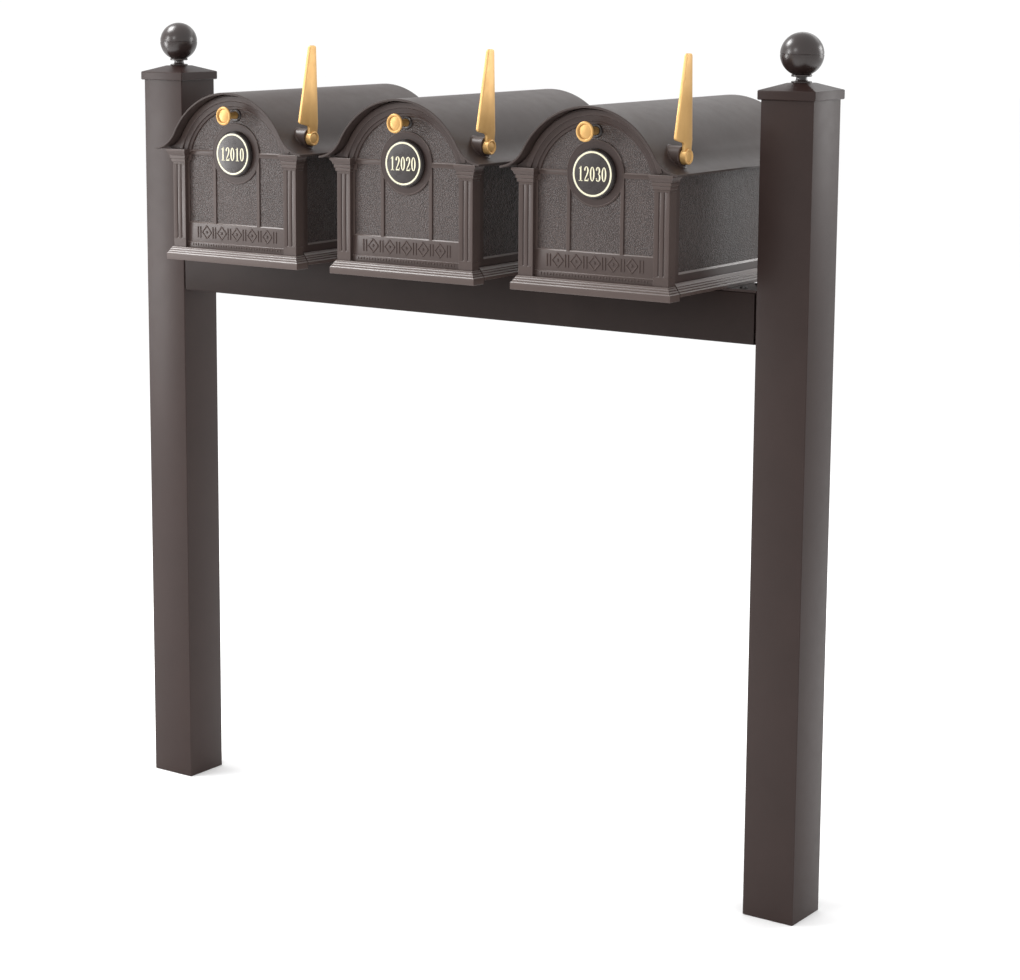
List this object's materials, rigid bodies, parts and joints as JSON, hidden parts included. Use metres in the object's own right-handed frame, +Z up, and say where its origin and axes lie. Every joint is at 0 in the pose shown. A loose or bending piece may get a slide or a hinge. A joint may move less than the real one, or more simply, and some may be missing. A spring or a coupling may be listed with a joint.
{
  "type": "cluster mailbox unit",
  "caption": "Free-standing cluster mailbox unit: cast arched mailboxes with drop-down doors and side flags on a beam between square posts with ball finials.",
  "frame": {"origin": "on the ground at the middle of the whole unit's box", "axes": "+X along the beam to the right as seen from the doors, -Y the front that the doors face, +Z up"},
  "size_m": [1.5416, 0.5176, 1.5871],
  "materials": {
    "post_bronze": "satin dark bronze powder coat, smooth",
    "cast_bronze": "satin dark bronze powder coat on cast aluminium, hammered on the panels",
    "brass": "satin gold",
    "plaque_black": "satin near-black",
    "plaque_ivory": "satin ivory, raised figures and ring",
    "zinc_steel": "plain zinc plate"
  },
  "bodies": {
    "stand": {"left_post": "post_bronze", "left_post_cap": "post_bronze", "left_finial_base": "post_bronze", "left_finial_ball": "post_bronze", "right_post": "post_bronze", "right_post_cap": "post_bronze", "right_finial_base": "post_bronze", "right_finial_ball": "post_bronze", "beam": "post_bronze", "left_beam_bracket": "post_bronze", "left_bracket_front_screw": "zinc_steel", "left_bracket_rear_screw": "zinc_steel", "left_beam_bolt": "post_bronze", "right_beam_bracket": "post_bronze", "right_bracket_front_screw": "zinc_steel", "right_bracket_rear_screw": "zinc_steel", "right_beam_bolt": "post_bronze", "left_mounting_plate": "post_bronze", "left_box_floor": "cast_bronze", "left_box_left_wall": "cast_bronze", "left_box_right_wall": "cast_bronze", "left_box_rear_wall": "cast_bronze", "left_box_roof": "cast_bronze", "left_door_hinge_pin": "zinc_steel", "left_latch_magnet": "zinc_steel", "left_flag_standoff": "cast_bronze", "middle_mounting_plate": "post_bronze", "middle_box_floor": "cast_bronze", "middle_box_left_wall": "cast_bronze", "middle_box_right_wall": "cast_bronze", "middle_box_rear_wall": "cast_bronze", "middle_box_roof": "cast_bronze", "middle_door_hinge_pin": "zinc_steel", "middle_latch_magnet": "zinc_steel", "middle_flag_standoff": "cast_bronze", "right_mounting_plate": "post_bronze", "right_box_floor": "cast_bronze", "right_box_left_wall": "cast_bronze", "right_box_right_wall": "cast_bronze", "right_box_rear_wall": "cast_bronze", "right_box_roof": "cast_bronze", "right_door_hinge_pin": "zinc_steel", "right_latch_magnet": "zinc_steel", "right_flag_standoff": "cast_bronze"},
    "left_door": {"left_door": "cast_bronze", "left_door_knob": "brass", "left_number_plaque": "plaque_black", "left_latch_striker": "zinc_steel"},
    "left_flag": {"left_flag": "brass"},
    "middle_door": {"middle_door": "cast_bronze", "middle_door_knob": "brass", "middle_number_plaque": "plaque_black", "middle_latch_striker": "zinc_steel"},
    "middle_flag": {"middle_flag": "brass"},
    "right_door": {"right_door": "cast_bronze", "right_door_knob": "brass", "right_number_plaque": "plaque_black", "right_latch_striker": "zinc_steel"},
    "right_flag": {"right_flag": "brass"}
  },
  "joints": [
    {"name": "left_door_hinge", "type": "hinge", "parent": "stand", "child": "left_door", "pos_m": [-0.3714, -0.2112, 1.1387], "axis": [1, 0, 0], "range_deg": [0, 90]},
    {"name": "left_flag_pivot", "type": "hinge", "parent": "stand", "child": "left_flag", "pos_m": [-0.2114, -0.1862, 1.3787], "axis": [1, 0, 0], "range_deg": [-90, 0]},
    {"name": "middle_door_hinge", "type": "hinge", "parent": "stand", "child": "middle_door", "pos_m": [0.035, -0.2112, 1.1387], "axis": [1, 0, 0], "range_deg": [0, 90]},
    {"name": "middle_flag_pivot", "type": "hinge", "parent": "stand", "child": "middle_flag", "pos_m": [0.195, -0.1862, 1.3787], "axis": [1, 0, 0], "range_deg": [-90, 0]},
    {"name": "right_door_hinge", "type": "hinge", "parent": "stand", "child": "right_door", "pos_m": [0.4414, -0.2112, 1.1387], "axis": [1, 0, 0], "range_deg": [0, 90]},
    {"name": "right_flag_pivot", "type": "hinge", "parent": "stand", "child": "right_flag", "pos_m": [0.6014, -0.1862, 1.3787], "axis": [1, 0, 0], "range_deg": [-90, 0]}
  ]
}
